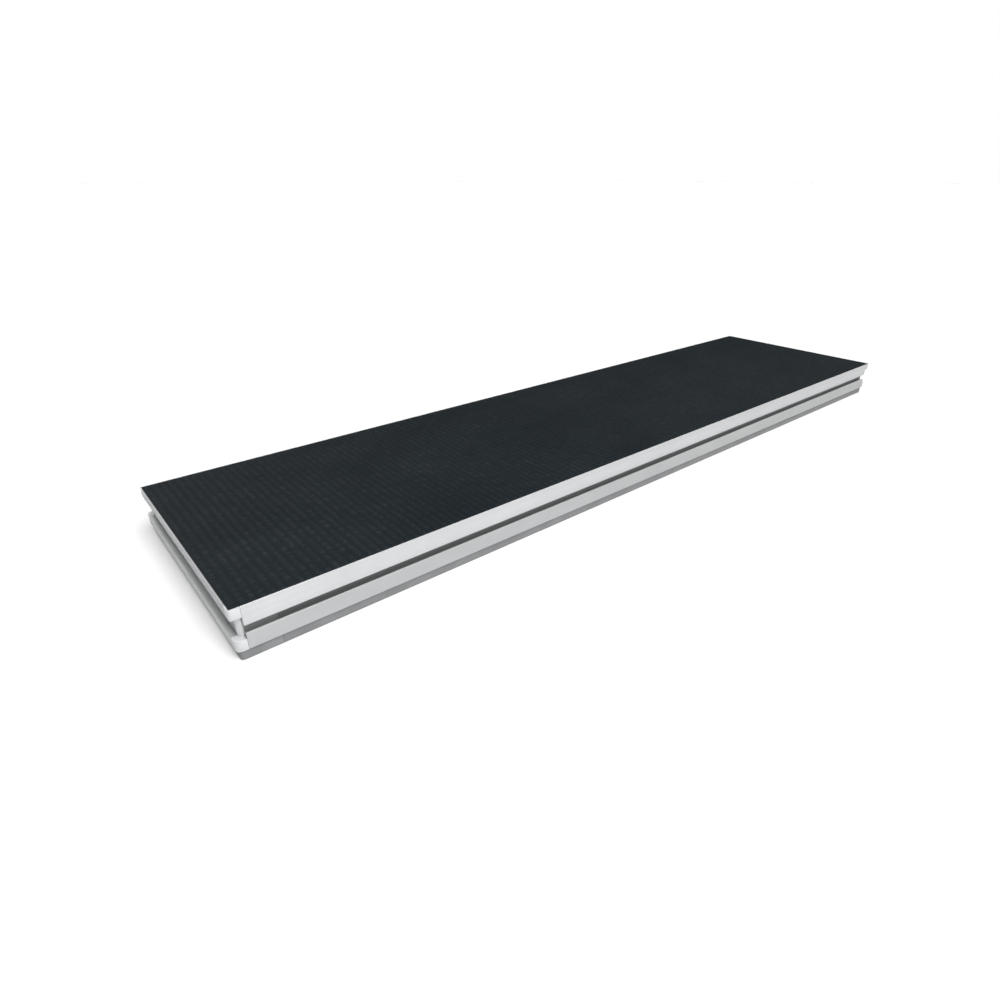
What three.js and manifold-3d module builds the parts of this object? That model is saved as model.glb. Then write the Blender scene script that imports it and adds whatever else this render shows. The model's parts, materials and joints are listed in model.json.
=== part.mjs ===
// Aluminium-framed platform deck: a dark ribbed panel set flush in a frame of four extruded rails,
// four cast corners with sockets for plug-in legs, and a clamp screw at each socket.
// Units are millimetres. +X runs along the deck, +Y across it, +Z up. The origin is on the
// floor under the middle of the deck.

import * as THREE from 'three';
import { mergeVertices } from 'three/addons/utils/BufferGeometryUtils.js';
import Module from 'manifold-3d';

const wasm = await Module();
wasm.setup();

// ---------------------------------------------------------------- driving dimensions

const LENGTH = 2000;
const WIDTH = 500;
const HEIGHT = 93;
const GAP = 0.3;             // clearance between pieces that touch
const SMALL_ROUND = 20;      // facets round small turned parts and their holes
const SOCKET_ROUND = 36;     // facets round a leg socket

// Levels, all measured up from the floor.
const SKID_TOP = 18;         // top of the plastic skids, underside of the aluminium frame
const FLANGE_TOP = 37;       // top of the lower flange, floor of the recess in ends and corners
const SLOT_LOW = 46.4;       // lower edge of the slot's mouth in the long rails
const SLOT_HIGH = 59.7;      // upper edge of the slot's mouth
const LIP_LOW = 75;          // underside of the lip and of the panel ledge
const LEDGE_TOP = 77.5;      // where the panel rests

// Depths, all measured inwards from the deck's outer faces.
const UPSTAND = 2;           // thin edge that frames the panel
const WALL = 3;              // general wall of the extrusions
const RECESS = 9;            // depth of the slot's cavity and of the end recess
const WEB_BACK = RECESS + WALL;
const RAIL_WIDTH = 34;
const LEDGE_WIDTH = 45;
const SKID_INSET = 4;

// Corner castings.
const CORNER_FACE = 17;      // width of the casting that shows on each outer face
const LIP_RADIUS = 4;
const WEB_RADIUS = 8;
const FLANGE_RADIUS = 8.5;
const SKID_RADIUS = 6;
const SKID_HOLE_RADIUS = 25.2;
const BLOCK_HIGH = 68;       // the socket block spans RECESS to BLOCK_HIGH both ways
const SOCKET_CENTRE = 40;
const SOCKET_RADIUS = 24.65; // takes a 48.3 mm scaffold tube
const SOCKET_ROOF = 74;      // where a leg's end bears
const SPIGOT_LENGTH = 28;
const SPIGOT_GAP = 0.5;

// Leg clamp: an M12 screw on the corner's diagonal, measured from the socket's axis.
const CLAMP_LEVEL = 47;
const SCREW_RADIUS = 6;
const THREAD_HOLE_RADIUS = 6.15;
const PITCH = 1.75;
const TURNS = 5;
const TRAVEL = PITCH * TURNS;
const BOSS_RADIUS = 11;
const BOSS_END = 46;
const PAD_FACE = 25.2;
const PAD_RADIUS = 8.5;
const PAD_LENGTH = 5;
const PAD_POCKET_RADIUS = 9;
const PAD_POCKET_END = 31;
const TIP_RADIUS = 4;
const TIP_POCKET_RADIUS = 4.3;
const TIP_DEPTH = 2.5;
const KNOB_START = BOSS_END + TRAVEL + 0.5;
const KNOB_LENGTH = 20;
const KNOB_RADIUS = 22;
const KNOB_LOBES = 6;
const KNOB_LOBE_DEPTH = 2.6;
const KNOB_LOBE_STEPS = 6;
const KNOB_EDGE = 2;
const KNOB_BORE_DEPTH = 16;

// Panel.
const SEAL_THICKNESS = 1.6;
const SEAL_EDGE = UPSTAND + 0.2;
const PANEL_EDGE = SEAL_EDGE + SEAL_THICKNESS + 0.2;
const WEAR_THICKNESS = 2.1;
const WEAR_TOP = HEIGHT - 0.4;
const CORE_TOP = WEAR_TOP - WEAR_THICKNESS - GAP;

// Cross-members.
const CROSS_POSITIONS = [-500, 0, 500];
const CROSS_WIDTH = 40;
const CROSS_HEIGHT = 46;
const CROSS_WALL = 2.5;

// Fasteners.
const PANEL_SCREW_POSITIONS = [-750, -250, 250, 750];
const PANEL_SCREW_LINE = 39.5;
const PANEL_SCREW_RADIUS = 2.4;
const PANEL_SCREW_HEAD_RADIUS = 4.8;
const PANEL_SCREW_HEAD_HEIGHT = 3;
const PANEL_SCREW_REACH = 8;
const BOLT_RADIUS = 4;
const BOLT_HEAD_RADIUS = 6.8;
const BOLT_HEAD_HEIGHT = 5;
const BOLT_REACH = 12;
const BOLT_FROM_BLOCK = 14;
const BOLT_LEVEL = 47;

// ---------------------------------------------------------------- materials

function metal(color, roughness) {
  return new THREE.MeshStandardMaterial({ color, roughness, metalness: 1 });
}

function plain(color, roughness) {
  return new THREE.MeshStandardMaterial({ color, roughness, metalness: 0 });
}

const materials = {
  extrusion: metal(0xd9dbdc, 0.38),
  casting: metal(0xdedfe0, 0.45),
  steel: metal(0xaeb2b5, 0.35),
  plywood: plain(0x8a6a45, 0.8),
  wear: plain(0x262c2f, 0.6),
  seal: plain(0x1b1e20, 0.8),
  skid: plain(0x7d8082, 0.65),
  knob: plain(0x17191a, 0.45),
};

// ---------------------------------------------------------------- solids

function toSolid(geometry) {
  const bare = geometry.index ? geometry.toNonIndexed() : geometry.clone();
  bare.deleteAttribute('normal');
  bare.deleteAttribute('uv');
  const merged = mergeVertices(bare, 1e-4);
  return new wasm.Manifold(new wasm.Mesh({
    numProp: 3,
    vertProperties: new Float32Array(merged.attributes.position.array),
    triVerts: new Uint32Array(merged.index.array),
  }));
}

function toGeometry(solid) {
  const mesh = solid.getMesh();
  const geometry = new THREE.BufferGeometry();
  const stride = mesh.numProp;
  const count = mesh.vertProperties.length / stride;
  const positions = new Float32Array(count * 3);
  for (let i = 0; i < count; i += 1) {
    for (let k = 0; k < 3; k += 1) {
      positions[i * 3 + k] = mesh.vertProperties[i * stride + k];
    }
  }
  geometry.setAttribute('position', new THREE.BufferAttribute(positions, 3));
  geometry.setIndex(Array.from(mesh.triVerts));
  geometry.computeVertexNormals();
  return geometry;
}

function union(solids) {
  return solids.reduce((whole, solid) => whole.add(solid));
}

function subtract(solid, cuts) {
  return cuts.reduce((rest, cut) => rest.subtract(cut), solid);
}

function boxGeometry(low, high) {
  const size = high.map((value, k) => value - low[k]);
  const centre = high.map((value, k) => (value + low[k]) / 2);
  return new THREE.BoxGeometry(...size).translate(...centre);
}

function box(low, high) {
  return toSolid(boxGeometry(low, high));
}

// A rectangle from (x0, y0) to (x1, y1) whose first corner is rounded by the radius given.
function roundedPlan(low, high, radius) {
  const shape = new THREE.Shape();
  shape.moveTo(high, low);
  shape.lineTo(high, high);
  shape.lineTo(low, high);
  shape.lineTo(low, low + radius);
  shape.absarc(low + radius, low + radius, radius, Math.PI, 1.5 * Math.PI, false);
  return shape;
}

function slab(shape, bottom, top, curveSegments = 8) {
  const geometry = new THREE.ExtrudeGeometry(shape, {
    depth: top - bottom, bevelEnabled: false, curveSegments,
  });
  return toSolid(geometry.translate(0, 0, bottom));
}

// A cylinder along +Z between two levels.
function post(radius, bottom, top, x, y, segments) {
  const geometry = new THREE.CylinderGeometry(radius, radius, top - bottom, segments);
  return toSolid(geometry.rotateX(Math.PI / 2).translate(x, y, (top + bottom) / 2));
}

// A cylinder along the corner's diagonal, between two distances from the socket's axis.
function diagonalGeometry(geometry) {
  return geometry
    .rotateZ(-Math.PI / 2)
    .rotateZ(Math.PI / 4)
    .translate(SOCKET_CENTRE, SOCKET_CENTRE, CLAMP_LEVEL);
}

function diagonalCylinder(radius, start, end, segments) {
  const geometry = new THREE.CylinderGeometry(radius, radius, end - start, segments);
  return diagonalGeometry(geometry.translate(0, (start + end) / 2, 0));
}

// ---------------------------------------------------------------- rails

// A hollow that runs through a bar from end to end, between two corners of its section.
function chamber(length, [y0, z0], [y1, z1]) {
  return box([-length / 2 - 1, y0, z0], [length / 2 + 1, y1, z1]);
}

// Sections are drawn with x as the depth behind the outer face and y as the height.
function section(points) {
  return new THREE.Shape(points.map(([x, z]) => new THREE.Vector2(x, z)));
}

const RAIL_LOW = SKID_TOP + GAP;
const FASCIA_BACK = RECESS - GAP;

// Inner side of every rail: the box and the ledge that carries the panel.
const INNER_SIDE = [
  [RAIL_WIDTH, RAIL_LOW],
  [RAIL_WIDTH, LIP_LOW],
  [LEDGE_WIDTH, LIP_LOW],
  [LEDGE_WIDTH, LEDGE_TOP],
];

// An end rail in one profile: the lip, an open recess and the lower flange on its outer side.
const END_SECTION = section([
  ...INNER_SIDE,
  [UPSTAND, LEDGE_TOP],
  [UPSTAND, HEIGHT],
  [0, HEIGHT],
  [0, LIP_LOW],
  [RECESS, LIP_LOW],
  [RECESS, FLANGE_TOP],
  [0, FLANGE_TOP],
  [0, RAIL_LOW],
]);

// A long rail is a core with three face profiles on its outer side, which leave the slot between
// them: the upper fascia over it, the lip in front of its lower part, and the lower fascia.
const CORE_SECTION = section([...INNER_SIDE, [RECESS, LEDGE_TOP], [RECESS, RAIL_LOW]]);

const UPPER_SECTION = section([
  [FASCIA_BACK, SLOT_HIGH],
  [FASCIA_BACK, LEDGE_TOP],
  [UPSTAND, LEDGE_TOP],
  [UPSTAND, HEIGHT],
  [0, HEIGHT],
  [0, SLOT_HIGH],
]);

const SLOT_LIP_SECTION = section([
  [WALL, FLANGE_TOP + GAP],
  [WALL, SLOT_LOW],
  [0, SLOT_LOW],
  [0, FLANGE_TOP + GAP],
]);

const LOWER_SECTION = section([
  [FASCIA_BACK, RAIL_LOW],
  [FASCIA_BACK, FLANGE_TOP],
  [0, FLANGE_TOP],
  [0, RAIL_LOW],
]);

// Lays a section drawn in depth and height along X, centred on the origin.
function alongX(shape, length) {
  const geometry = new THREE.ExtrudeGeometry(shape, { depth: length, bevelEnabled: false });
  const axes = new THREE.Matrix4().makeBasis(
    new THREE.Vector3(0, 1, 0),
    new THREE.Vector3(0, 0, 1),
    new THREE.Vector3(1, 0, 0),
  );
  return geometry.applyMatrix4(axes).translate(-length / 2, 0, 0);
}

function boltHoles(side) {
  const line = side / 2 - BLOCK_HIGH - BOLT_FROM_BLOCK;
  const radius = BOLT_RADIUS + GAP;
  return [-line, line].map((x) => {
    const hole = new THREE.CylinderGeometry(radius, radius, 3 * WALL, 16);
    return toSolid(hole.translate(x, RAIL_WIDTH - WALL / 2, BOLT_LEVEL));
  });
}

function boxChamber(length) {
  return chamber(length, [WEB_BACK, RAIL_LOW + WALL], [RAIL_WIDTH - WALL, LIP_LOW - WALL]);
}

function flangeChamber(length) {
  return chamber(length, [WALL, RAIL_LOW + WALL], [FASCIA_BACK - WALL, FLANGE_TOP - WALL]);
}

// An end rail seen from the front, outer face on y = 0, cut back clear of the castings' blocks.
function endRail(side) {
  const length = side - 2 * (CORNER_FACE + GAP);
  const bar = toSolid(alongX(END_SECTION, length));
  const blockEnd = side / 2 - BLOCK_HIGH - GAP;
  const notches = [-1, 1].map((end) => {
    const near = end * blockEnd;
    const far = end * side;
    return box(
      [Math.min(near, far), FASCIA_BACK, 0],
      [Math.max(near, far), LEDGE_WIDTH + 1, LEDGE_TOP + 1],
    );
  });
  const cuts = [boxChamber(length), flangeChamber(length), ...notches, ...boltHoles(side)];
  return toGeometry(subtract(bar, cuts));
}

// The core of a long rail, between the castings.
function longRail(side) {
  const length = side - 2 * (BLOCK_HIGH + GAP);
  const screwHoles = PANEL_SCREW_POSITIONS.map((x) => post(
    PANEL_SCREW_RADIUS + GAP, LIP_LOW - 1, LEDGE_TOP + 1, x, PANEL_SCREW_LINE, 12,
  ));
  const cuts = [boxChamber(length), ...boltHoles(side), ...screwHoles];
  return toGeometry(subtract(toSolid(alongX(CORE_SECTION, length)), cuts));
}

// A face profile of a long rail, between the castings' visible corners.
function faceProfile(shape, side, chambers) {
  const length = side - 2 * (CORNER_FACE + GAP);
  const cuts = chambers.map(([low, high]) => chamber(length, low, high));
  return toGeometry(subtract(toSolid(alongX(shape, length)), cuts));
}

const UPPER_CHAMBER = [[2.5, SLOT_HIGH + WALL], [FASCIA_BACK - 2.5, LIP_LOW - WALL]];
const LOWER_CHAMBER = [[WALL, RAIL_LOW + WALL], [FASCIA_BACK - WALL, FLANGE_TOP - WALL]];

// ---------------------------------------------------------------- corner castings

function spigot() {
  const inner = WEB_BACK + SPIGOT_GAP;
  const outer = RAIL_WIDTH - WALL - SPIGOT_GAP;
  const bottom = SKID_TOP + WALL + SPIGOT_GAP;
  const top = LIP_LOW - WALL - SPIGOT_GAP;
  const bar = box([BLOCK_HIGH - 1, inner, bottom], [BLOCK_HIGH + SPIGOT_LENGTH, outer, top]);
  const core = box(
    [BLOCK_HIGH + WALL, inner - 1, bottom + 2 * WALL],
    [BLOCK_HIGH + SPIGOT_LENGTH + 1, outer - WALL, top - 2 * WALL],
  );
  const boltHole = new THREE.CylinderGeometry(BOLT_RADIUS + GAP, BOLT_RADIUS + GAP, 40, 16);
  boltHole.translate(BLOCK_HIGH + BOLT_FROM_BLOCK, outer, BOLT_LEVEL);
  return subtract(bar, [core, toSolid(boltHole)]);
}

// Swaps depth behind one face for depth behind the other, which mirrors the casting.
function mirrored(solid) {
  return solid.mirror([1, -1, 0]);
}

function corner() {
  const bottom = SKID_TOP + GAP;
  const lip = slab(roundedPlan(0, CORNER_FACE, LIP_RADIUS), LIP_LOW, HEIGHT);
  const pocket = box([UPSTAND, UPSTAND, LEDGE_TOP], [CORNER_FACE + 1, CORNER_FACE + 1, HEIGHT + 1]);
  const flange = slab(roundedPlan(0, CORNER_FACE, FLANGE_RADIUS), bottom, FLANGE_TOP);
  const block = slab(roundedPlan(RECESS, BLOCK_HIGH, WEB_RADIUS), bottom, LEDGE_TOP);
  const boss = toSolid(diagonalCylinder(BOSS_RADIUS, SOCKET_RADIUS + 4, BOSS_END, SMALL_ROUND));
  const arm = spigot();
  const body = union([subtract(lip, [pocket]), flange, block, boss, arm, mirrored(arm)]);
  const socket = post(
    SOCKET_RADIUS, 0, SOCKET_ROOF, SOCKET_CENTRE, SOCKET_CENTRE, SOCKET_ROUND,
  );
  const thread = toSolid(diagonalCylinder(THREAD_HOLE_RADIUS, 0, BOSS_END + 1, SMALL_ROUND));
  const padPocket = toSolid(diagonalCylinder(PAD_POCKET_RADIUS, 0, PAD_POCKET_END, SMALL_ROUND));
  return toGeometry(subtract(body, [socket, thread, padPocket]));
}

// ---------------------------------------------------------------- plastic skids

function skidStrip(side) {
  const length = side - 2 * (BLOCK_HIGH + GAP);
  const shape = new THREE.Shape();
  shape.moveTo(SKID_INSET, 0);
  shape.lineTo(RAIL_WIDTH, 0);
  shape.lineTo(RAIL_WIDTH, SKID_TOP);
  shape.lineTo(SKID_INSET, SKID_TOP);
  const hollow = chamber(length, [SKID_INSET + WALL, WALL], [RAIL_WIDTH - WALL, SKID_TOP - WALL]);
  return toGeometry(toSolid(alongX(shape, length)).subtract(hollow));
}

function skidCorner() {
  const plan = roundedPlan(SKID_INSET, BLOCK_HIGH, SKID_RADIUS);
  const hole = post(
    SKID_HOLE_RADIUS, -1, SKID_TOP + 1, SOCKET_CENTRE, SOCKET_CENTRE, SOCKET_ROUND,
  );
  return toGeometry(slab(plan, 0, SKID_TOP).subtract(hole));
}

// ---------------------------------------------------------------- panel

function panelCore() {
  const halfX = LENGTH / 2 - PANEL_EDGE;
  const halfY = WIDTH / 2 - PANEL_EDGE;
  const board = box([-halfX, -halfY, LEDGE_TOP + GAP], [halfX, halfY, CORE_TOP]);
  const holes = [-1, 1].flatMap((side) => PANEL_SCREW_POSITIONS.map((x) => post(
    PANEL_SCREW_RADIUS + GAP,
    LEDGE_TOP - 1,
    LEDGE_TOP + PANEL_SCREW_REACH + GAP,
    x,
    side * (WIDTH / 2 - PANEL_SCREW_LINE),
    12,
  )));
  return toGeometry(subtract(board, holes));
}

function wearLayer() {
  const halfX = LENGTH / 2 - PANEL_EDGE;
  const halfY = WIDTH / 2 - PANEL_EDGE;
  return boxGeometry([-halfX, -halfY, CORE_TOP + GAP], [halfX, halfY, WEAR_TOP]);
}

// An edge seal seen from the front, with its outer face SEAL_EDGE behind the deck's face.
function seal(length) {
  return boxGeometry(
    [-length / 2, SEAL_EDGE, LEDGE_TOP + GAP],
    [length / 2, SEAL_EDGE + SEAL_THICKNESS, WEAR_TOP],
  );
}

// ---------------------------------------------------------------- cross-members

// A box tube across the deck whose ends are notched to pass under the panel ledges.
function crossMember() {
  const length = WIDTH - 2 * (RAIL_WIDTH + GAP);
  const half = CROSS_WIDTH / 2;
  const bottom = LEDGE_TOP - CROSS_HEIGHT;
  const shape = new THREE.Shape();
  shape.moveTo(-half, bottom);
  shape.lineTo(half, bottom);
  shape.lineTo(half, LEDGE_TOP);
  shape.lineTo(-half, LEDGE_TOP);
  const tube = toSolid(alongX(shape, length)).subtract(chamber(
    length,
    [-half + CROSS_WALL, bottom + CROSS_WALL],
    [half - CROSS_WALL, LIP_LOW - GAP - CROSS_WALL],
  ));
  const notches = [-1, 1].map((end) => {
    const near = end * (WIDTH / 2 - LEDGE_WIDTH - GAP);
    const far = end * WIDTH;
    return box(
      [Math.min(near, far), -half - 1, LIP_LOW - GAP],
      [Math.max(near, far), half + 1, LEDGE_TOP + 1],
    );
  });
  return toGeometry(subtract(tube, notches));
}

// ---------------------------------------------------------------- fasteners and clamps

// A pan-head screw that points up, with its head under the panel ledge.
function panelScrew() {
  const headTop = LIP_LOW - GAP;
  const headLow = headTop - PANEL_SCREW_HEAD_HEIGHT;
  const profile = [
    [0, headLow],
    [PANEL_SCREW_HEAD_RADIUS * 0.7, headLow],
    [PANEL_SCREW_HEAD_RADIUS, headLow + PANEL_SCREW_HEAD_HEIGHT * 0.6],
    [PANEL_SCREW_HEAD_RADIUS, headTop],
    [PANEL_SCREW_RADIUS, headTop],
    [PANEL_SCREW_RADIUS, LEDGE_TOP + PANEL_SCREW_REACH - 1],
    [0, LEDGE_TOP + PANEL_SCREW_REACH],
  ];
  const points = profile.map(([r, z]) => new THREE.Vector2(r, z));
  return new THREE.LatheGeometry(points, 12).rotateX(Math.PI / 2);
}

// A hex-head bolt that points outwards (towards -Y), its head on the rail's inner wall.
function cornerBolt() {
  const seat = RAIL_WIDTH + GAP;
  const shank = new THREE.CylinderGeometry(BOLT_RADIUS, BOLT_RADIUS, BOLT_REACH + 1, 16);
  shank.translate(0, seat - (BOLT_REACH + 1) / 2 + 1, 0);
  const head = new THREE.CylinderGeometry(
    BOLT_HEAD_RADIUS, BOLT_HEAD_RADIUS, BOLT_HEAD_HEIGHT, 6,
  );
  head.translate(0, seat + BOLT_HEAD_HEIGHT / 2, 0);
  return toGeometry(toSolid(shank).add(toSolid(head)));
}

function turned(profile) {
  const points = profile.map(([r, along]) => new THREE.Vector2(r, along));
  return diagonalGeometry(new THREE.LatheGeometry(points, SMALL_ROUND));
}

function clampPad() {
  const back = PAD_FACE + PAD_LENGTH;
  return turned([
    [0, PAD_FACE],
    [PAD_RADIUS - 0.8, PAD_FACE],
    [PAD_RADIUS, PAD_FACE + 0.8],
    [PAD_RADIUS, back],
    [TIP_POCKET_RADIUS, back],
    [TIP_POCKET_RADIUS, back - TIP_DEPTH],
    [0, back - TIP_DEPTH],
  ]);
}

function clampScrew() {
  const back = PAD_FACE + PAD_LENGTH;
  return turned([
    [0, back - TIP_DEPTH + GAP],
    [TIP_RADIUS, back - TIP_DEPTH + GAP],
    [TIP_RADIUS, back + 0.5],
    [SCREW_RADIUS, back + 1.5],
    [SCREW_RADIUS, KNOB_START + KNOB_BORE_DEPTH - 1],
    [SCREW_RADIUS - 1, KNOB_START + KNOB_BORE_DEPTH],
    [0, KNOB_START + KNOB_BORE_DEPTH],
  ]);
}

// A star knob: a lobed outline with bevelled edges, bored blind for the screw.
function clampKnob() {
  const outline = [];
  const steps = KNOB_LOBES * KNOB_LOBE_STEPS;
  for (let i = 0; i < steps; i += 1) {
    const angle = (2 * Math.PI * i) / steps;
    const hollow = KNOB_LOBE_DEPTH * (1 - Math.cos(KNOB_LOBES * angle)) / 2;
    const radius = KNOB_RADIUS - KNOB_EDGE - hollow;
    outline.push(new THREE.Vector2(radius * Math.cos(angle), radius * Math.sin(angle)));
  }
  const geometry = new THREE.ExtrudeGeometry(new THREE.Shape(outline), {
    depth: KNOB_LENGTH - 2 * KNOB_EDGE,
    bevelSize: KNOB_EDGE,
    bevelThickness: KNOB_EDGE,
    bevelSegments: 1,
  });
  geometry.rotateX(-Math.PI / 2).translate(0, KNOB_START + KNOB_EDGE, 0);
  const star = toSolid(diagonalGeometry(geometry));
  const boreEnd = KNOB_START + KNOB_BORE_DEPTH + GAP;
  const bore = toSolid(
    diagonalCylinder(SCREW_RADIUS + GAP, KNOB_START - 1, boreEnd, SMALL_ROUND),
  );
  return toGeometry(star.subtract(bore));
}

// ---------------------------------------------------------------- assembly

const deck = new THREE.Group();

function place(name, geometry, material, angle, x, y, z = 0) {
  const mesh = new THREE.Mesh(geometry, material);
  mesh.name = name;
  mesh.rotation.z = angle;
  mesh.position.set(x, y, z);
  deck.add(mesh);
}

const SIDES = [
  { name: 'front', angle: 0, x: 0, y: -WIDTH / 2, side: LENGTH },
  { name: 'right', angle: Math.PI / 2, x: LENGTH / 2, y: 0, side: WIDTH },
  { name: 'back', angle: Math.PI, x: 0, y: WIDTH / 2, side: LENGTH },
  { name: 'left', angle: -Math.PI / 2, x: -LENGTH / 2, y: 0, side: WIDTH },
];

const CORNERS = [
  { name: 'front_left', angle: 0, x: -LENGTH / 2, y: -WIDTH / 2 },
  { name: 'front_right', angle: Math.PI / 2, x: LENGTH / 2, y: -WIDTH / 2 },
  { name: 'back_right', angle: Math.PI, x: LENGTH / 2, y: WIDTH / 2 },
  { name: 'back_left', angle: -Math.PI / 2, x: -LENGTH / 2, y: WIDTH / 2 },
];

for (const { name, angle, x, y, side } of SIDES) {
  const isLong = side === LENGTH;
  const screws = isLong ? PANEL_SCREW_POSITIONS : [];
  const sealLength = side - 2 * (isLong ? SEAL_EDGE : PANEL_EDGE);
  const profiles = isLong ? {
    rail: longRail(side),
    upper_fascia: faceProfile(UPPER_SECTION, side, [UPPER_CHAMBER]),
    slot_lip: faceProfile(SLOT_LIP_SECTION, side, []),
    lower_fascia: faceProfile(LOWER_SECTION, side, [LOWER_CHAMBER]),
  } : { rail: endRail(side) };
  for (const [profile, geometry] of Object.entries(profiles)) {
    place(`${profile}_${name}`, geometry, materials.extrusion, angle, x, y);
  }
  place(`skid_${name}`, skidStrip(side), materials.skid, angle, x, y);
  place(`edge_seal_${name}`, seal(sealLength), materials.seal, angle, x, y);

  const boltLine = side / 2 - BLOCK_HIGH - BOLT_FROM_BLOCK;
  [-boltLine, boltLine].forEach((along, index) => {
    const geometry = cornerBolt().translate(along, 0, BOLT_LEVEL);
    place(`corner_bolt_${name}_${index + 1}`, geometry, materials.steel, angle, x, y);
  });
  screws.forEach((along, index) => {
    const geometry = panelScrew().translate(along, PANEL_SCREW_LINE, 0);
    place(`panel_screw_${name}_${index + 1}`, geometry, materials.steel, angle, x, y);
  });
}

for (const { name, angle, x, y } of CORNERS) {
  place(`corner_${name}`, corner(), materials.casting, angle, x, y);
  place(`corner_skid_${name}`, skidCorner(), materials.skid, angle, x, y);
  place(`clamp_pad_${name}`, clampPad(), materials.steel, angle, x, y);
  place(`clamp_screw_${name}`, clampScrew(), materials.steel, angle, x, y);
  place(`clamp_knob_${name}`, clampKnob(), materials.knob, angle, x, y);
}

CROSS_POSITIONS.forEach((x, index) => {
  place(`cross_member_${index + 1}`, crossMember(), materials.extrusion, Math.PI / 2, x, 0);
});

place('panel_core', panelCore(), materials.plywood, 0, 0, 0);
place('anti_slip_layer', wearLayer(), materials.wear, 0, 0, 0);

export default deck;
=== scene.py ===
import json
import math
import random

import bpy
from mathutils import Matrix, Vector


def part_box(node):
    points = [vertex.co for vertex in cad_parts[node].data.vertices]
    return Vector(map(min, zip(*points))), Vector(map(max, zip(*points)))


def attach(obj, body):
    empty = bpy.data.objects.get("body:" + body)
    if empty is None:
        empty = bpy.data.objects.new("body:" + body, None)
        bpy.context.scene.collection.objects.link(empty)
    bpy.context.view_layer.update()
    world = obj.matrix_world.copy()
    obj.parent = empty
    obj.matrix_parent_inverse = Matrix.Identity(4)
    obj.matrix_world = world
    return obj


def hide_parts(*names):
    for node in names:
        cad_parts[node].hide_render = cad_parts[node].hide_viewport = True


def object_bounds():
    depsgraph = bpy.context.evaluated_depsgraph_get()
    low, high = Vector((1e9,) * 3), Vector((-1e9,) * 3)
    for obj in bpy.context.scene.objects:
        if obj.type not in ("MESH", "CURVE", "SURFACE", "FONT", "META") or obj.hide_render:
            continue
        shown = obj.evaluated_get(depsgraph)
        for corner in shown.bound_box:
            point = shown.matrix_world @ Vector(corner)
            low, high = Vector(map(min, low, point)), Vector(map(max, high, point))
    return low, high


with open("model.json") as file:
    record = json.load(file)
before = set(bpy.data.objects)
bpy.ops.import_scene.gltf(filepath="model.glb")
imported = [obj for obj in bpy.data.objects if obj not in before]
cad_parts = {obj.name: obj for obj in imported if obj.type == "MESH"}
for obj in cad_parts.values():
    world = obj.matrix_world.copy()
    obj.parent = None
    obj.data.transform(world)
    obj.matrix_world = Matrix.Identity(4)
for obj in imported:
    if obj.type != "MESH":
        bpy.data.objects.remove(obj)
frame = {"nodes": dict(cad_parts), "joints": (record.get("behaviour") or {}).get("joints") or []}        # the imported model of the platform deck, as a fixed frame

CAD_LOW, CAD_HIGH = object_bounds()
NODES = frame["nodes"]
JOINTS = {joint["name"]: joint for joint in frame["joints"]}

# ---------------------------------------------------------------- sizes, in metres

MM = 0.001
CORNERS = ("front_left", "front_right", "back_right", "back_left")
SIDES = ("front", "right", "back", "left")

# Camera, placed from the deck's front left top corner.
CAMERA_OFFSET = Vector((-0.1493, -0.7696, 0.5310))
CAMERA_HEADING = 39.45       # degrees to the right of +Y
CAMERA_DIP = 27.47           # degrees below the horizon
CAMERA_LENS = 22.52
CAMERA_SENSOR = 36.0

# The aluminium is duller below the slot than above it, as the photo shows. The cause is unknown.
DULL_BELOW = 44.0 * MM
DULL_ABOVE = 62.0 * MM

# Painted shade: how light the aluminium is made deep in the slots and in the end recesses, fitted.
SLOT_PAINTED_SHADE = 0.145
END_PAINTED_SHADE = 0.300

# Long rails' faces: the wall of the slot's lower lip, the upstand round the panel, its ledge.
LIP_WALL = 3.0 * MM
UPSTAND = 2.0 * MM
LEDGE_TOP = 77.5 * MM

# Anti-slip layer.
RIB_PITCH = 14.3 * MM
RIB_HEIGHT = 0.9 * MM
RIB_WIDTH = 0.62             # share of the pitch that the rib takes
RIB_STEPS = 10               # points across one pitch
RIB_VALLEY = 0.3 * MM        # the valleys lie this far under the sheet's nominal top
RIB_END = 2.0 * MM           # ribs fall away over this length at the long edges

# Leg clamps: distances from the socket's axis along the screw.
SCREW_TIP = 28.0 * MM
THREAD_START = 32.0 * MM
THREAD_END = 55.0 * MM
THREAD_PITCH = 1.75 * MM
THREAD_CREST = 5.95 * MM
THREAD_ROOT = 5.0 * MM
TIP_RADIUS = 4.0 * MM
SCREW_END = 71.0 * MM
KNOB_START = 55.25 * MM
KNOB_LENGTH = 20.0 * MM
KNOB_RADIUS = 22.0 * MM
KNOB_HUB = 11.5 * MM
KNOB_LOBES = 6
KNOB_HOLLOW = 3.2 * MM

# Corner bolts and panel screws.
WASHER_RADIUS = 8.4 * MM
WASHER_THICKNESS = 1.3 * MM
BOLT_HEX = 6.5 * MM          # half the width across the flats
BOLT_HEAD = 3.9 * MM
BOLT_SHANK = 3.9 * MM
BOLT_REACH = 12.0 * MM
BOLT_HEAD_IN_CAD = 5.0 * MM  # height of the plain head that the bolt replaces
SCREW_SHANK = 2.4 * MM
SCREW_HEAD_RADIUS = 4.8 * MM
SCREW_HEAD_HEIGHT = 3.0 * MM
SCREW_RECESS = 1.9 * MM
SCREW_RECESS_DEPTH = 1.5 * MM
SCREW_LOBES = 6

# Weld beads at the cross-members.
BEAD_RADIUS = 2.3 * MM
BEAD_STEP = 0.55 * MM
BEAD_RIPPLE = 1.9 * MM
BEAD_SIDES = 10
BEAD_STOP = 6.0 * MM         # the beads stop this far under a cross-member's top
WELD_GAP = 0.3 * MM          # clearance between cross-member and rail in the CAD

# Rounded edges, and the points round a turned piece.
EDGE_SEGMENTS = 2
EDGE_ANGLE = 30
ROUND = 48

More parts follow.
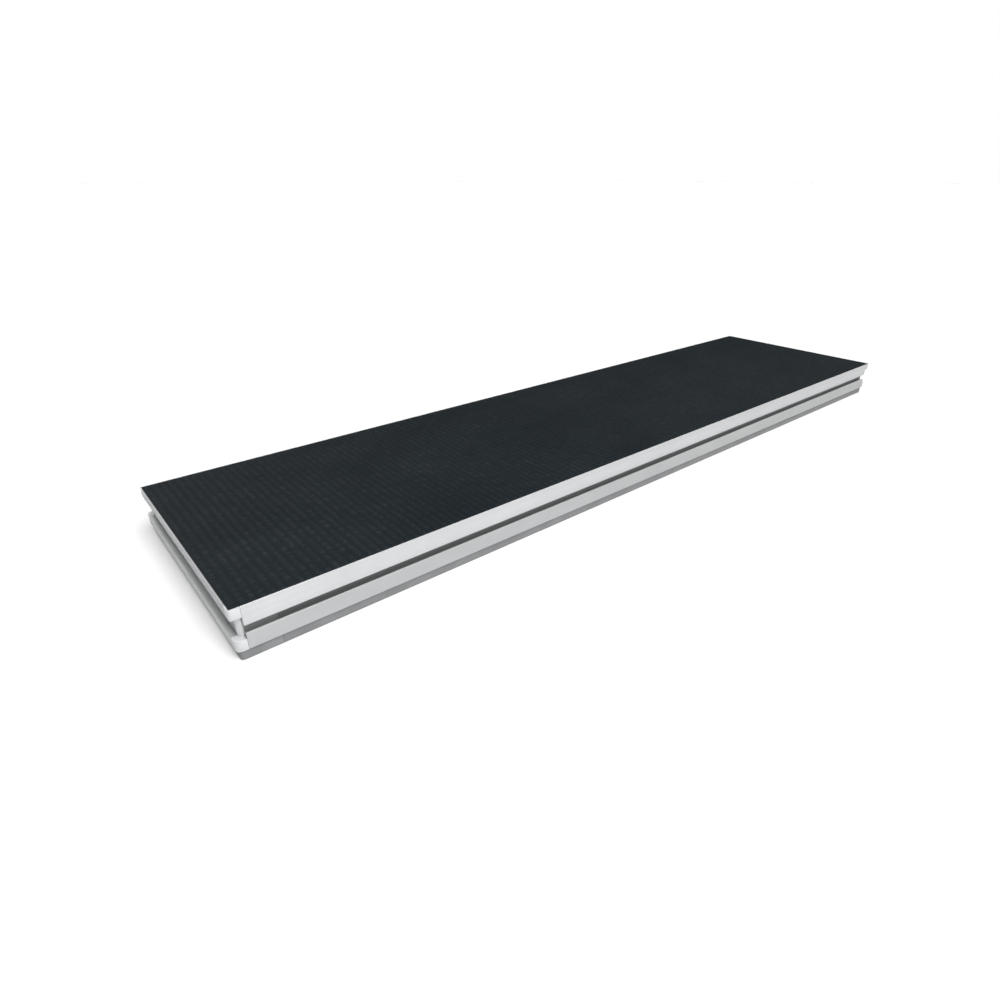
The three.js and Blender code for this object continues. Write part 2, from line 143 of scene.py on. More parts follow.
# Share of metal in the shader for weathered aluminium.
ALUMINIUM_METALLIC = 0.45

# Stage: the floor's half size, and the world's brighter side and levels.
FLOOR_HALF = 60.0
WORLD_BRIGHT_SIDE = (0.5, -0.84, 0.2)
WORLD_DARK_FROM = -0.6
WORLD_LEVEL = 0.55

random.seed(7)


# ---------------------------------------------------------------- materials

class Paint:
    """One node material, with short calls for the nodes that the finishes share."""

    def __init__(self, name):
        self.material = bpy.data.materials.new(name)
        self.material.use_nodes = True
        self.tree = self.material.node_tree
        self.shader = self.tree.nodes["Principled BSDF"]
        self.place = self.tree.nodes.new("ShaderNodeTexCoord").outputs["Object"]

    def set(self, **values):
        for name, value in values.items():
            self.shader.inputs[name.replace("_", " ")].default_value = value

    def join(self, source, target):
        self.tree.links.new(source, target)

    def stretched(self, stretch):
        node = self.tree.nodes.new("ShaderNodeMapping")
        node.inputs["Scale"].default_value = stretch
        self.join(self.place, node.inputs["Vector"])
        return node.outputs["Vector"]

    def noise(self, scale, detail=3.0, stretch=(1, 1, 1), distortion=0.0):
        node = self.tree.nodes.new("ShaderNodeTexNoise")
        node.inputs["Scale"].default_value = scale
        node.inputs["Detail"].default_value = detail
        node.inputs["Distortion"].default_value = distortion
        self.join(self.stretched(stretch), node.inputs["Vector"])
        return node.outputs["Fac"]

    def ramp(self, factor, low, high):
        """Maps a factor between two points onto 0 to 1, clamped."""
        node = self.tree.nodes.new("ShaderNodeMapRange")
        node.inputs["From Min"].default_value = low
        node.inputs["From Max"].default_value = high
        self.join(factor, node.inputs["Value"])
        return node.outputs["Result"]

    def span(self, factor, start, end):
        """Maps a factor of 0 to 1 onto a span of values."""
        node = self.tree.nodes.new("ShaderNodeMapRange")
        node.inputs["To Min"].default_value = start
        node.inputs["To Max"].default_value = end
        self.join(factor, node.inputs["Value"])
        return node.outputs["Result"]

    def blend(self, factor, first, second):
        """A colour between two, each a colour or another node's output."""
        node = self.tree.nodes.new("ShaderNodeMix")
        node.data_type = "RGBA"
        self.join(factor, node.inputs["Factor"])
        colours = [s for s in node.inputs if s.type == "RGBA"]
        for socket, colour in zip(colours, (first, second)):
            if isinstance(colour, tuple):
                socket.default_value = (*colour, 1.0)
            else:
                self.join(colour, socket)
        return next(s for s in node.outputs if s.type == "RGBA")

    def coordinate(self, axis):
        split = self.tree.nodes.new("ShaderNodeSeparateXYZ")
        self.join(self.place, split.inputs["Vector"])
        return split.outputs[axis]

    def maths(self, operation, first, second):
        node = self.tree.nodes.new("ShaderNodeMath")
        node.operation = operation
        for socket, value in zip(node.inputs, (first, second)):
            if isinstance(value, float):
                socket.default_value = value
            else:
                self.join(value, socket)
        return node.outputs["Value"]

    def multiply(self, first, second):
        return self.maths("MULTIPLY", first, second)

    def depth(self, axis, half):
        """Distance behind the deck's outer face at that half width."""
        absolute = self.maths("ABSOLUTE", self.coordinate(axis), 0.0)
        return self.maths("SUBTRACT", half, absolute)

    def face_depths(self):
        """Distances behind the nearer end face and behind the nearer long face."""
        return self.depth("X", CAD_HIGH.x), self.depth("Y", CAD_HIGH.y)

    def painted_shade(self):
        """Mask of painted shade: 1 deep in the slots and recesses, 0 on the outer faces, the
        corners and inside.
        """
        along, across = self.face_depths()
        depth = self.maths("MINIMUM", along, across)
        from_corner = self.maths("MAXIMUM", along, across)
        inside = self.ramp(depth, 12.5 * MM, 16.0 * MM)
        in_slot = self.maths("SUBTRACT", self.ramp(depth, 1.0 * MM, 7.5 * MM), inside)
        return self.multiply(in_slot, self.ramp(from_corner, 15.0 * MM, 19.0 * MM))

    def bump(self, height, strength, distance, under=None):
        node = self.tree.nodes.new("ShaderNodeBump")
        node.inputs["Strength"].default_value = strength
        node.inputs["Distance"].default_value = distance
        self.join(height, node.inputs["Height"])
        if under is not None:
            self.join(under, node.inputs["Normal"])
        return node.outputs["Normal"]

    def finish(self, colour, roughness, normal):
        self.join(colour, self.shader.inputs["Base Color"])
        self.join(roughness, self.shader.inputs["Roughness"])
        self.join(normal, self.shader.inputs["Normal"])
        return self.material


def shade(grey, factor):
    """A faintly cool grey."""
    level = grey * factor
    return (level * 0.985, level, level * 1.012)


def axis_stretch(axis, along, across):
    """A noise scale that is long along one axis and short across it."""
    return tuple(along if k == "XYZ".index(axis) else across for k in range(3))


def extruded_aluminium(axis, upper_tone, dull_tone, painted_shade_tone):
    """Natural aluminium as drawn through the die: fine lines along the bar, faint stains, painted
    shade deep in the slots and recesses, and an upper tone that each copy paints lighter or darker
    for how the light falls on its faces.
    """
    paint = Paint(f"aluminium_drawn_{axis.lower()}")
    lines = paint.noise(1.0, 4.0, axis_stretch(axis, 2.0, 1400.0))
    bands = paint.noise(1.0, 2.0, axis_stretch(axis, 0.7, 90.0))
    stains = paint.noise(9.0, 5.0, (1, 1, 1), 0.6)
    streaks = paint.multiply(bands, stains)
    upper = paint.blend(streaks, shade(upper_tone, 0.88), shade(upper_tone, 1.24))
    dull = paint.blend(stains, shade(dull_tone, 0.90), shade(dull_tone, 1.10))
    clean = paint.blend(paint.ramp(paint.coordinate("Z"), DULL_BELOW, DULL_ABOVE), dull, upper)
    # Painted shade: the aluminium is darkened deep in the slots and recesses, where shade falls.
    tone = paint.blend(paint.painted_shade(), clean, shade(painted_shade_tone, 1.0))
    roughness = paint.span(paint.multiply(lines, stains), 0.42, 0.66)
    normal = paint.bump(lines, 0.12, 0.05 * MM)
    paint.set(Metallic=ALUMINIUM_METALLIC)
    return paint.finish(tone, roughness, normal)


def cast_aluminium():
    """Blasted casting: a fine pebbled skin and slightly cloudy tone, with painted shade deep in the
    slots and end recesses.
    """
    paint = Paint("aluminium_cast")
    grain = paint.noise(1500.0, 2.0)
    pits = paint.noise(420.0, 3.0)
    clouds = paint.noise(14.0, 4.0)
    clean = paint.blend(paint.ramp(clouds, 0.3, 0.7), (0.47, 0.478, 0.485), (0.53, 0.535, 0.54))
    # Painted shade: the slot's darker tone behind the long faces, the end recess's tone behind the
    # end faces.
    behind_long_face = paint.maths("SUBTRACT", *paint.face_depths())
    painted_shade = paint.blend(
        paint.ramp(behind_long_face, 0.0, 1.0 * MM), shade(END_PAINTED_SHADE, 1.0), shade(SLOT_PAINTED_SHADE, 1.0),
    )
    # The painted shade is laid over the clean casting tone in the slots and recesses.
    tone = paint.blend(paint.painted_shade(), clean, painted_shade)
    roughness = paint.span(clouds, 0.46, 0.64)
    normal = paint.bump(pits, 0.25, 0.08 * MM, paint.bump(grain, 0.3, 0.04 * MM))
    paint.set(Metallic=ALUMINIUM_METALLIC)
    return paint.finish(tone, roughness, normal)


def zinc_steel():
    """Bright zinc plating with a faint mottle."""
    paint = Paint("steel_zinc")
    mottle = paint.noise(220.0, 4.0)
    wear = paint.noise(1200.0, 2.0)
    tone = paint.blend(paint.ramp(mottle, 0.35, 0.65), (0.50, 0.51, 0.52), (0.66, 0.66, 0.65))
    roughness = paint.span(mottle, 0.24, 0.42)
    normal = paint.bump(wear, 0.1, 0.03 * MM)
    paint.set(Metallic=1.0)
    return paint.finish(tone, roughness, normal)


def anti_slip():
    """Anthracite sheet: satin ribs with scuffed crests and a fine grain."""
    paint = Paint("anti_slip_sheet")
    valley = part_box("anti_slip_layer")[1].z - RIB_VALLEY
    crest = paint.ramp(paint.coordinate("Z"), valley, valley + RIB_HEIGHT)
    clouds = paint.noise(5.0, 5.0, (1, 1.6, 1))
    grain = paint.noise(1600.0, 2.0)
    scuffs = paint.noise(60.0, 6.0, (1, 3, 1), 0.8)
    patches = paint.ramp(clouds, 0.3, 0.7)
    base = paint.blend(patches, (0.0064, 0.0089, 0.0107), (0.0088, 0.0116, 0.0135))
    worn = paint.multiply(crest, paint.ramp(scuffs, 0.45, 0.75))
    tone = paint.blend(paint.multiply(worn, clouds), base, (0.026, 0.030, 0.033))
    roughness = paint.span(paint.multiply(clouds, grain), 0.55, 0.85)
    normal = paint.bump(grain, 0.35, 0.08 * MM)
    paint.set(Specular_IOR_Level=0.05)
    return paint.finish(tone, roughness, normal)


def plywood():
    """Birch face veneer: long grain with darker lines and small pores."""
    paint = Paint("plywood_birch")
    figure = paint.noise(1.0, 5.0, (1.6, 26.0, 26.0), 1.2)
    pores = paint.noise(1.0, 3.0, (30.0, 900.0, 900.0))
    clouds = paint.noise(3.0, 3.0)
    light = paint.blend(paint.ramp(clouds, 0.3, 0.7), (0.50, 0.34, 0.19), (0.60, 0.43, 0.26))
    grained = paint.blend(paint.ramp(figure, 0.42, 0.62), light, (0.38, 0.235, 0.12))
    tone = paint.blend(paint.ramp(pores, 0.62, 0.75), grained, (0.26, 0.15, 0.075))
    roughness = paint.span(figure, 0.50, 0.68)
    normal = paint.bump(pores, 0.25, 0.08 * MM)
    return paint.finish(tone, roughness, normal)


def moulded(name, dark, light, grain_scale, rough_low, rough_high, specular):
    """Moulded plastic or rubber with an even grain and slightly rubbed patches."""
    paint = Paint(name)
    grain = paint.noise(grain_scale, 2.0)
    rubbed = paint.noise(24.0, 5.0, (1, 1, 1), 0.5)
    tone = paint.blend(paint.ramp(rubbed, 0.35, 0.7), dark, light)
    roughness = paint.span(rubbed, rough_low, rough_high)
    normal = paint.bump(grain, 0.3, 0.06 * MM)
    paint.set(Specular_IOR_Level=specular)
    return paint.finish(tone, roughness, normal)


def weld_metal():
    """Aluminium weld: bright with a sooty bloom."""
    paint = Paint("aluminium_weld")
    bloom = paint.noise(160.0, 4.0)
    grain = paint.noise(1400.0, 2.0)
    tone = paint.blend(paint.ramp(bloom, 0.4, 0.7), (0.78, 0.78, 0.78), (0.42, 0.41, 0.40))
    roughness = paint.span(bloom, 0.35, 0.6)
    normal = paint.bump(grain, 0.2, 0.05 * MM)
    paint.set(Metallic=0.9)
    return paint.finish(tone, roughness, normal)


# Two copies of one aluminium, with their fine lines along X and along Y. The upper tone is painted
# lighter on the long rails' copy, as lit faces, and darker on the copy for the end rails and
# cross-members, as shaded faces.
LIT_ALONG_X = extruded_aluminium("X", 0.470, 0.355, SLOT_PAINTED_SHADE)
SHADED_ALONG_Y = extruded_aluminium("Y", 0.345, 0.385, END_PAINTED_SHADE)
CAST = cast_aluminium()
STEEL = zinc_steel()
DECK = anti_slip()
PLY = plywood()
SKID = moulded(
    "skid_plastic", (0.140, 0.143, 0.145), (0.172, 0.175, 0.178), 900.0, 0.5, 0.7, 0.4,
)
SEAL = moulded(
    "seal_rubber", (0.010, 0.011, 0.012), (0.016, 0.017, 0.018), 1200.0, 0.6, 0.8, 0.25,
)
KNOB = moulded(
    "knob_plastic", (0.010, 0.010, 0.011), (0.018, 0.018, 0.019), 1100.0, 0.35, 0.55, 0.5,
)
WELD = weld_metal()


# ---------------------------------------------------------------- meshes

def add_piece(name, points, faces, material, body, replaced=()):
    """A mesh piece that rides on a body, takes a finish slot and may stand for CAD nodes."""
    mesh = bpy.data.meshes.new(name)
    mesh.from_pydata([tuple(p) for p in points], [], faces)
    mesh.materials.append(material)
    mesh.polygons.foreach_set("use_smooth", [True] * len(mesh.polygons))
    piece = bpy.data.objects.new(name, mesh)
    bpy.context.scene.collection.objects.link(piece)
    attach(piece, body)
    if replaced:
        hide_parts(*replaced)
    return piece


def skin(rings):
    """Faces between rings of equal count, with the first and last ring closed by a cap."""
    count = len(rings[0])
    points = [p for ring in rings for p in ring]
    faces = []
    for row in range(len(rings) - 1):
        for k in range(count):
            a = row * count + k
            b = row * count + (k + 1) % count
            faces.append((a, b, b + count, a + count))
    faces.append(tuple(reversed(range(count))))
    last = (len(rings) - 1) * count
    faces.append(tuple(range(last, last + count)))
    return points, faces


def soften(piece, width):
    """Rounds the edges of a piece: merges its facets into flat faces first, then bevels."""
    weld = piece.modifiers.new("weld", "WELD")
    weld.merge_threshold = 0.01 * MM
    flat = piece.modifiers.new("flat_faces", "DECIMATE")
    flat.decimate_type = "DISSOLVE"
    flat.angle_limit = math.radians(0.5)
    bevel = piece.modifiers.new("edges", "BEVEL")
    bevel.width = width
    bevel.segments = EDGE_SEGMENTS
    bevel.limit_method = "ANGLE"
    bevel.angle_limit = math.radians(EDGE_ANGLE)
    bevel.harden_normals = True
    bevel.miter_outer = "MITER_ARC"
    polygons = piece.data.polygons
    polygons.foreach_set("use_smooth", [True] * len(polygons))


def dress(name, material, width=0.0):
    """Gives a CAD node its material and, where asked, rounded edges."""
    piece = NODES[name]
    piece.data.materials.clear()
    piece.data.materials.append(material)
    if width:
        soften(piece, width)


# ---------------------------------------------------------------- frame and panel

def dress_frame():
    for side in SIDES:
        along_x = side in ("front", "back")
        dress(f"rail_{side}", LIT_ALONG_X if along_x else SHADED_ALONG_Y, 0.45 * MM)
        dress(f"skid_{side}", SKID, 0.8 * MM)
        dress(f"edge_seal_{side}", SEAL, 0.3 * MM)
    for corner in CORNERS:
        dress(f"corner_{corner}", CAST, 0.5 * MM)
        dress(f"corner_skid_{corner}", SKID, 0.8 * MM)
        dress(f"clamp_pad_{corner}", STEEL, 0.3 * MM)
    for index in (1, 2, 3):
        dress(f"cross_member_{index}", SHADED_ALONG_Y, 1.2 * MM)
    dress("panel_core", PLY)


def face_profile(name, side, nodes, section):
    """One profile along a long rail's face, from its section in depth and height."""
    low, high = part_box(nodes[0])
    outer, inwards = (low.y, 1) if side == "front" else (high.y, -1)
    outline = [(outer + inwards * depth, height) for depth, height in section]
    if side == "back":
        outline.reverse()
    rings = [[(x, y, z) for y, z in outline] for x in (low.x, high.x)]
    points, faces = skin(rings)
    piece = add_piece(f"{name}_{side}", points, faces, LIT_ALONG_X, "frame", nodes)
    soften(piece, 0.45 * MM)


def long_faces(side):
    """The face above a long rail's slot, and the lip and box below it as one profile."""
    upper, lip, lower = (f"{name}_{side}" for name in ("upper_fascia", "slot_lip", "lower_fascia"))
    low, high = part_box(upper)
    back = high.y - low.y
    face_profile("upper_face", side, [upper], [
        (0, low.z), (back, low.z), (back, LEDGE_TOP), (UPSTAND, LEDGE_TOP), (UPSTAND, high.z),
        (0, high.z),
    ])
    low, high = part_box(lower)
    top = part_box(lip)[1].z
    face_profile("lower_face", side, [lower, lip], [
        (0, low.z), (back, low.z), (back, high.z), (LIP_WALL, high.z), (LIP_WALL, top), (0, top),
    ])


def rib_height(phase):
    """Height of the sheet's surface across one pitch, 0 in a valley and 1 on a crest."""
    offset = abs(phase - 0.5) / (RIB_WIDTH / 2)
    if offset >= 1:
        return 0.0
    return (1 - offset ** 2) ** 0.5


def anti_slip_sheet():
    """The ribbed top: ribs run across the deck and fall away just before the long edges."""
    low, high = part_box("anti_slip_layer")
    count = round((high.x - low.x) / RIB_PITCH)
    pitch = (high.x - low.x) / count
    valley = high.z - RIB_VALLEY
    rings = []
    for step in range(count * RIB_STEPS + 1):
        x = low.x + pitch * step / RIB_STEPS
        crest = valley + RIB_HEIGHT * rib_height((step % RIB_STEPS) / RIB_STEPS)
        rings.append([
            (x, low.y, low.z),
            (x, low.y, valley),
            (x, low.y + RIB_END, crest),
            (x, high.y - RIB_END, crest),
            (x, high.y, valley),
            (x, high.y, low.z),
        ])
    points, faces = skin(rings)
    add_piece(
        "anti_slip_sheet", points, faces, DECK, "frame", ["anti_slip_layer"],
    )


# ---------------------------------------------------------------- leg clamps

def clamp_frame(corner):
    """A matrix that puts z = 0 on the socket's axis and +Z outwards along the clamp screw."""
    joint = JOINTS[f"screw_turn_{corner}"]
    outward = -Vector(joint["axis"]).normalized()
    turn = Vector((0, 0, 1)).rotation_difference(outward).to_matrix().to_4x4()
    return Matrix.Translation(Vector(joint["pos_m"])) @ turn


def circle(radius, z, count=ROUND):
    return [
        (radius * math.cos(2 * math.pi * k / count), radius * math.sin(2 * math.pi * k / count), z)
        for k in range(count)
    ]


def placed(rings, matrix):
    return [[matrix @ Vector(p) for p in ring] for ring in rings]


def thread_radius(z, angle):
    """Radius of a right-hand thread with flattened crests, easing out at both ends."""
    phase = (z / THREAD_PITCH - angle / (2 * math.pi)) % 1.0
    tooth = min(1.0, max(0.0, 1.25 - 2.5 * abs(phase - 0.5)))
    fade = min(1.0, (z - THREAD_START) / THREAD_PITCH, (THREAD_END - z) / THREAD_PITCH)
    return THREAD_ROOT + (THREAD_CREST - THREAD_ROOT) * tooth * max(0.0, fade)


def clamp_screw(corner):
    count = 28
    rings = [
        circle(TIP_RADIUS * 0.6, SCREW_TIP, count),
        circle(TIP_RADIUS, SCREW_TIP + 0.8 * MM, count),
        circle(TIP_RADIUS, THREAD_START - 1.2 * MM, count),
        circle(THREAD_ROOT, THREAD_START - 0.2 * MM, count),
    ]
    steps = round((THREAD_END - THREAD_START) / (THREAD_PITCH / 7))
    for step in range(steps + 1):
        z = THREAD_START + (THREAD_END - THREAD_START) * step / steps
        ring = []
        for k in range(count):
            angle = 2 * math.pi * k / count
            radius = thread_radius(z, angle)
            ring.append((radius * math.cos(angle), radius * math.sin(angle), z))
        rings.append(ring)
    rings.append(circle(THREAD_ROOT, SCREW_END, count))
    points, faces = skin(placed(rings, clamp_frame(corner)))
    add_piece(
        f"threaded_screw_{corner}", points, faces, STEEL,
        f"clamp_screw_{corner}", [f"clamp_screw_{corner}"],
    )


def knob_outline(radius, hollow, z, count=96):
    ring = []
    for k in range(count):
        angle = 2 * math.pi * k / count
        dip = hollow * (0.5 - 0.5 * math.cos(KNOB_LOBES * angle)) ** 1.5
        r = radius - dip
        ring.append((r * math.cos(angle), r * math.sin(angle), z))
    return ring


def clamp_knob(corner):
    """A star knob: collar at the screw, crowned lobes, a raised hub and a closed cap."""
    start, end = KNOB_START, KNOB_START + KNOB_LENGTH
    hub_end = end - 1.0 * MM
    rings = [
        knob_outline(THREAD_CREST + 0.4 * MM, 0, start),
        knob_outline(KNOB_HUB - 0.8 * MM, 0, start),
        knob_outline(KNOB_HUB, 0, start + 0.8 * MM),
        knob_outline(KNOB_HUB, 0, start + 4.0 * MM),
        knob_outline(KNOB_HUB + 1.5 * MM, 0, start + 5.0 * MM),
        knob_outline(KNOB_RADIUS - 3.0 * MM, KNOB_HOLLOW * 0.8, start + 5.6 * MM),
        knob_outline(KNOB_RADIUS - 1.0 * MM, KNOB_HOLLOW, start + 6.5 * MM),
        knob_outline(KNOB_RADIUS - 0.2 * MM, KNOB_HOLLOW, start + 8.0 * MM),
        knob_outline(KNOB_RADIUS, KNOB_HOLLOW, start + 10.5 * MM),
        knob_outline(KNOB_RADIUS - 0.3 * MM, KNOB_HOLLOW, start + 13.5 * MM),
        knob_outline(KNOB_RADIUS - 1.4 * MM, KNOB_HOLLOW, start + 15.4 * MM),
        knob_outline(KNOB_RADIUS - 3.6 * MM, KNOB_HOLLOW * 0.8, start + 16.8 * MM),
        knob_outline(KNOB_RADIUS - 7.0 * MM, KNOB_HOLLOW * 0.4, start + 17.6 * MM),
        knob_outline(KNOB_HUB, 0, start + 17.9 * MM),
        knob_outline(KNOB_HUB - 0.3 * MM, 0, hub_end),
        knob_outline(KNOB_HUB - 1.2 * MM, 0, end - 0.3 * MM),
        knob_outline(KNOB_HUB - 3.0 * MM, 0, end),
        knob_outline(KNOB_HUB - 3.4 * MM, 0, end - 0.7 * MM),
        knob_outline(1.0 * MM, 0, end - 0.5 * MM),
    ]
    points, faces = skin(placed(rings, clamp_frame(corner)))
    add_piece(
        f"star_knob_{corner}", points, faces, KNOB,
        f"clamp_screw_{corner}", [f"clamp_knob_{corner}"],
    )


# ---------------------------------------------------------------- fasteners

def hexagon_radius(angle, half_flats):
    return half_flats / math.cos((angle % (math.pi / 3)) - math.pi / 6)


def hex_ring(half_flats, z, chamfer=None):
    """A hexagon's outline; with a chamfer radius its corners drop under the cone of the chamfer."""
    ring = []
    for k in range(ROUND):
        angle = 2 * math.pi * k / ROUND
        radius = hexagon_radius(angle, half_flats)
        drop = 0.0 if chamfer is None else max(0.0, radius - chamfer) * math.tan(math.radians(30))
        ring.append((radius * math.cos(angle), radius * math.sin(angle), z - drop))
    return ring


def side_frame(side):
    """A matrix that turns the front side's place into that side's, about the deck's centre."""
    return Matrix.Rotation(math.radians(90 * SIDES.index(side)), 4, "Z")


def corner_bolt(side, index):
    """Washer, hexagon head and shank of a bolt that points outwards through a rail's inner wall."""
    name = f"corner_bolt_{side}_{index}"
    low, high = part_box(name)
    inward = side_frame(side) @ Vector((0, 1, 0))
    centre = (low + high) / 2
    reach = abs((high - low).dot(inward)) / 2
    head_end = centre + inward * reach
    seat = head_end - inward * BOLT_HEAD_IN_CAD
    turn = Vector((0, 0, 1)).rotation_difference(inward).to_matrix().to_4x4()
    matrix = Matrix.Translation(seat) @ turn @ Matrix.Rotation(0.4 * index, 4, "Z")
    top = WASHER_THICKNESS + BOLT_HEAD
    rings = [
        circle(BOLT_SHANK, -BOLT_REACH),
        circle(BOLT_SHANK, 0.0),
        circle(WASHER_RADIUS - 0.2 * MM, 0.0),
        circle(WASHER_RADIUS, 0.2 * MM),
        circle(WASHER_RADIUS, WASHER_THICKNESS - 0.2 * MM),
        circle(WASHER_RADIUS - 0.2 * MM, WASHER_THICKNESS),
        hex_ring(BOLT_HEX * 1.02, WASHER_THICKNESS),
        hex_ring(BOLT_HEX, WASHER_THICKNESS + 0.3 * MM),
        hex_ring(BOLT_HEX, top, chamfer=BOLT_HEX * 0.97),
        circle(BOLT_HEX * 0.95, top),
        circle(BOLT_HEX * 0.70, top - 0.1 * MM),
        circle(BOLT_HEX * 0.66, top - 0.35 * MM),
        circle(0.5 * MM, top - 0.35 * MM),
    ]
    points, faces = skin(placed(rings, matrix))
    piece = add_piece(f"hex_bolt_{side}_{index}", points, faces, STEEL, "frame", [name])
    crisp(piece, 28)


def crisp(piece, angle):
    """Keeps edges sharper than the angle sharp, so that only true curves are shaded smooth."""
    bpy.context.view_layer.objects.active = piece
    piece.select_set(True)
    bpy.ops.object.shade_smooth_by_angle(angle=math.radians(angle))
    piece.select_set(False)


def lobed(radius, depth, z):
    """Outline of a six-lobe recess."""
    ring = []
    for k in range(ROUND):
        angle = 2 * math.pi * k / ROUND
        r = radius + depth * math.cos(SCREW_LOBES * angle)
        ring.append((r * math.cos(angle), r * math.sin(angle), z))
    return ring


def panel_screw(side, index):
    """A pan head with a six-lobe recess, seen from under the deck, and its shank in the panel."""
    name = f"panel_screw_{side}_{index}"
    low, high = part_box(name)
    centre = (low + high) / 2
    matrix = Matrix.Translation((centre.x, centre.y, low.z)) @ Matrix.Rotation(index, 4, "Z")
    height = SCREW_HEAD_HEIGHT
    rings = [
        circle(0.3 * MM, SCREW_RECESS_DEPTH),
        lobed(SCREW_RECESS * 0.9, 0.25 * MM, SCREW_RECESS_DEPTH),
        lobed(SCREW_RECESS, 0.3 * MM, 0.1 * MM),
        lobed(SCREW_RECESS + 0.25 * MM, 0.2 * MM, 0.0),
        circle(SCREW_HEAD_RADIUS * 0.62, 0.15 * MM),
        circle(SCREW_HEAD_RADIUS * 0.82, 0.6 * MM),
        circle(SCREW_HEAD_RADIUS * 0.95, 1.4 * MM),
        circle(SCREW_HEAD_RADIUS, 2.3 * MM),
        circle(SCREW_HEAD_RADIUS, height - 0.2 * MM),
        circle(SCREW_HEAD_RADIUS - 0.2 * MM, height),
        circle(SCREW_SHANK, height),
        circle(SCREW_SHANK, high.z - low.z - 1.5 * MM),
        circle(0.3 * MM, high.z - low.z),
    ]
    points, faces = skin(placed(rings, matrix))
    piece = add_piece(f"pan_screw_{side}_{index}", points, faces, STEEL, "frame", [name])
    crisp(piece, 32)


# ---------------------------------------------------------------- welds

def weld_bead(name, route):
    """A rippled bead along a route of points, as a run of overlapping round ripples."""
    rings = []
    travelled = 0.0
    for start, end in zip(route, route[1:]):
        length = (end - start).length
        direction = (end - start).normalized()
        steps = max(1, round(length / BEAD_STEP))
        turn = Vector((0, 0, 1)).rotation_difference(direction).to_matrix()
        for step in range(steps):
            place = start.lerp(end, step / steps)
            phase = (travelled % BEAD_RIPPLE) / BEAD_RIPPLE
            ripple = 0.86 + 0.16 * math.sqrt(1 - phase) + random.uniform(-0.03, 0.03)
            radius = BEAD_RADIUS * ripple
            rings.append([
                place + turn @ Vector((
                    radius * math.cos(2 * math.pi * k / BEAD_SIDES),
                    radius * math.sin(2 * math.pi * k / BEAD_SIDES),
                    0,
                ))
                for k in range(BEAD_SIDES)
            ])
            travelled += length / steps
    points, faces = skin(rings)
    add_piece(name, points, faces, WELD, "frame")


def weld_beads():
    """Beads up both sides of every cross-member's ends and along its underside."""
    inset = BEAD_RADIUS * 0.35
    for index in (1, 2, 3):
        low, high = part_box(f"cross_member_{index}")
        for end, y in (("front", low.y - WELD_GAP), ("back", high.y + WELD_GAP)):
            inward = 1 if end == "front" else -1
            line = y + inward * inset
            top = high.z - BEAD_STOP
            route = [
                Vector((low.x - inset, line, top)),
                Vector((low.x - inset, line, low.z - inset)),
                Vector((high.x + inset, line, low.z - inset)),
                Vector((high.x + inset, line, top)),
            ]
            weld_bead(f"weld_bead_{index}_{end}", route)


# ---------------------------------------------------------------- stage

def camera():
    data = bpy.data.cameras.new("camera")
    data.lens = CAMERA_LENS
    data.sensor_width = CAMERA_SENSOR
    piece = bpy.data.objects.new("camera", data)
    corner = Vector((CAD_LOW.x, CAD_LOW.y, CAD_HIGH.z))
    piece.location = corner + CAMERA_OFFSET
    piece.rotation_euler = (math.radians(90 - CAMERA_DIP), 0, math.radians(-CAMERA_HEADING))
    bpy.context.scene.collection.objects.link(piece)
    bpy.context.scene.camera = piece


def floor():
    paint = Paint("floor_white")
    clouds = paint.noise(0.7, 2.0)
    tone = paint.blend(clouds, (0.645, 0.645, 0.645), (0.660, 0.660, 0.660))
    roughness = paint.span(clouds, 0.8, 0.9)
    paint.join(tone, paint.shader.inputs["Base Color"])
    paint.join(roughness, paint.shader.inputs["Roughness"])
    paint.set(Specular_IOR_Level=0.1)
    size = FLOOR_HALF
    mesh = bpy.data.meshes.new("floor")
    corners = [(-size, -size, 0), (size, -size, 0), (size, size, 0), (-size, size, 0)]
    mesh.from_pydata(corners, [], [(0, 1, 2, 3)])
    mesh.materials.append(paint.material)
    piece = bpy.data.objects.new("floor", mesh)
    piece.location = (0, 0, CAD_LOW.z - 0.1 * MM)
    bpy.context.scene.collection.objects.link(piece)


def area_light(name, place, aim, size, power):
    data = bpy.data.lights.new(name, "AREA")
    data.shape = "RECTANGLE"
    data.size, data.size_y = size
    data.energy = power
    piece = bpy.data.objects.new(name, data)
    piece.location = place
    piece.rotation_euler = (Vector(aim) - Vector(place)).to_track_quat("-Z", "Y").to_euler()
    bpy.context.scene.collection.objects.link(piece)


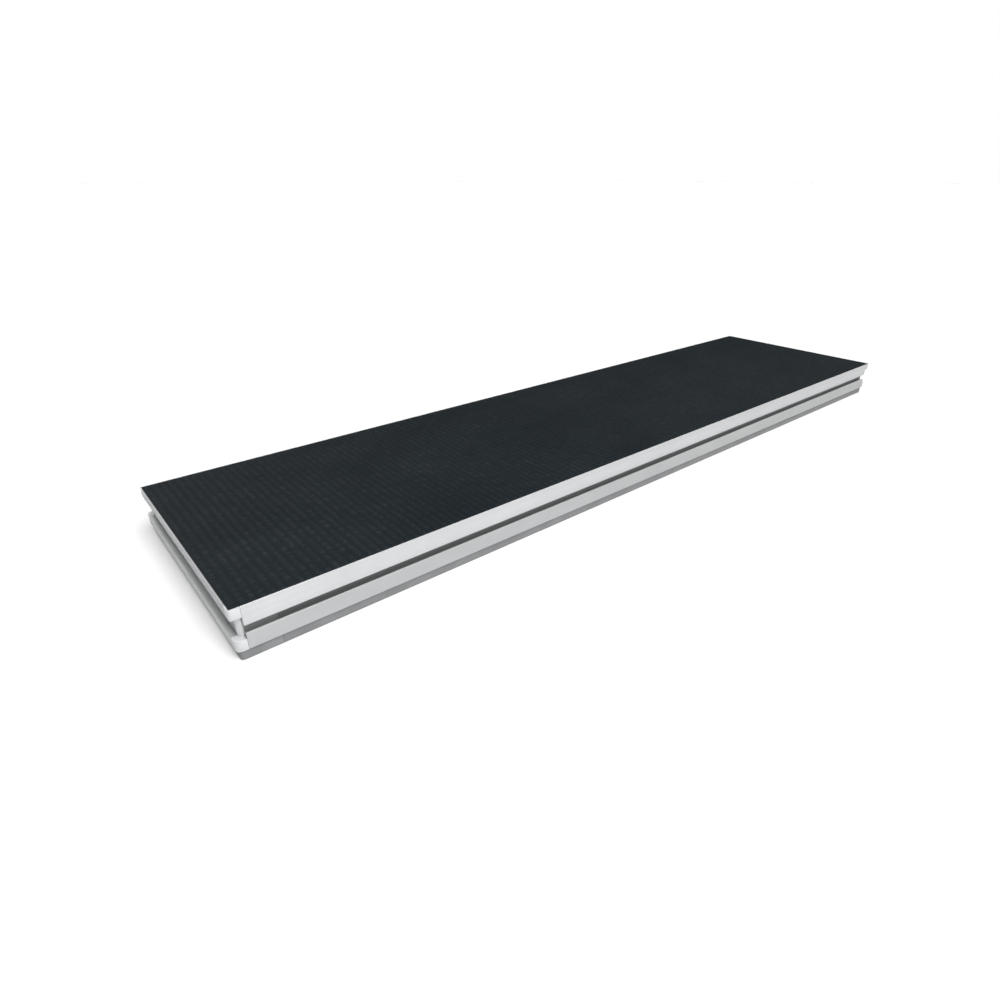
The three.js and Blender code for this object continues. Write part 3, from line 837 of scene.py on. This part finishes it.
def sun_light(name, aim, strength, angle):
    """A sun shining along aim, whose angle in degrees sets how soft its shadows are."""
    data = bpy.data.lights.new(name, "SUN")
    data.energy = strength
    data.angle = math.radians(angle)
    piece = bpy.data.objects.new(name, data)
    piece.rotation_euler = Vector(aim).to_track_quat("-Z", "Y").to_euler()
    bpy.context.scene.collection.objects.link(piece)


def studio_world():
    """A dim studio, lighter towards the front right, that the camera sees as plain white."""
    world = bpy.data.worlds.new("studio")
    world.use_nodes = True
    tree = world.node_tree
    background = tree.nodes["Background"]
    background.inputs["Color"].default_value = (1.0, 1.0, 1.0, 1.0)
    seen = tree.nodes.new("ShaderNodeLightPath").outputs["Is Camera Ray"]
    direction = tree.nodes.new("ShaderNodeTexCoord").outputs["Generated"]
    towards = tree.nodes.new("ShaderNodeVectorMath")
    towards.operation = "DOT_PRODUCT"
    towards.inputs[1].default_value = WORLD_BRIGHT_SIDE
    tree.links.new(direction, towards.inputs[0])
    level = tree.nodes.new("ShaderNodeMapRange")
    level.inputs["From Min"].default_value = WORLD_DARK_FROM
    level.inputs["To Min"].default_value = 0.0
    level.inputs["To Max"].default_value = WORLD_LEVEL
    tree.links.new(towards.outputs["Value"], level.inputs["Value"])
    white = tree.nodes.new("ShaderNodeMath")
    white.operation = "MAXIMUM"
    tree.links.new(level.outputs["Result"], white.inputs[0])
    tree.links.new(seen, white.inputs[1])
    tree.links.new(white.outputs["Value"], background.inputs["Strength"])
    bpy.context.scene.world = world


def lights():
    studio_world()
    sun_light("overhead", (-0.08, 0.50, -1.0), 4.1, 60)
    sun_light("behind", (0.25, -0.80, -0.62), 1.1, 50)
    area_light("front_near", (-1.0, -1.8, 1.5), (-0.8, -0.2, 0.05), (1.0, 1.0), 24)


bpy.context.scene.view_settings.view_transform = "Standard"

dress_frame()
long_faces("front")
long_faces("back")
anti_slip_sheet()
for corner in CORNERS:
    clamp_screw(corner)
    clamp_knob(corner)
for side in SIDES:
    for index in (1, 2):
        corner_bolt(side, index)
for side in ("front", "back"):
    for index in (1, 2, 3, 4):
        panel_screw(side, index)
weld_beads()
camera()
floor()
lights()
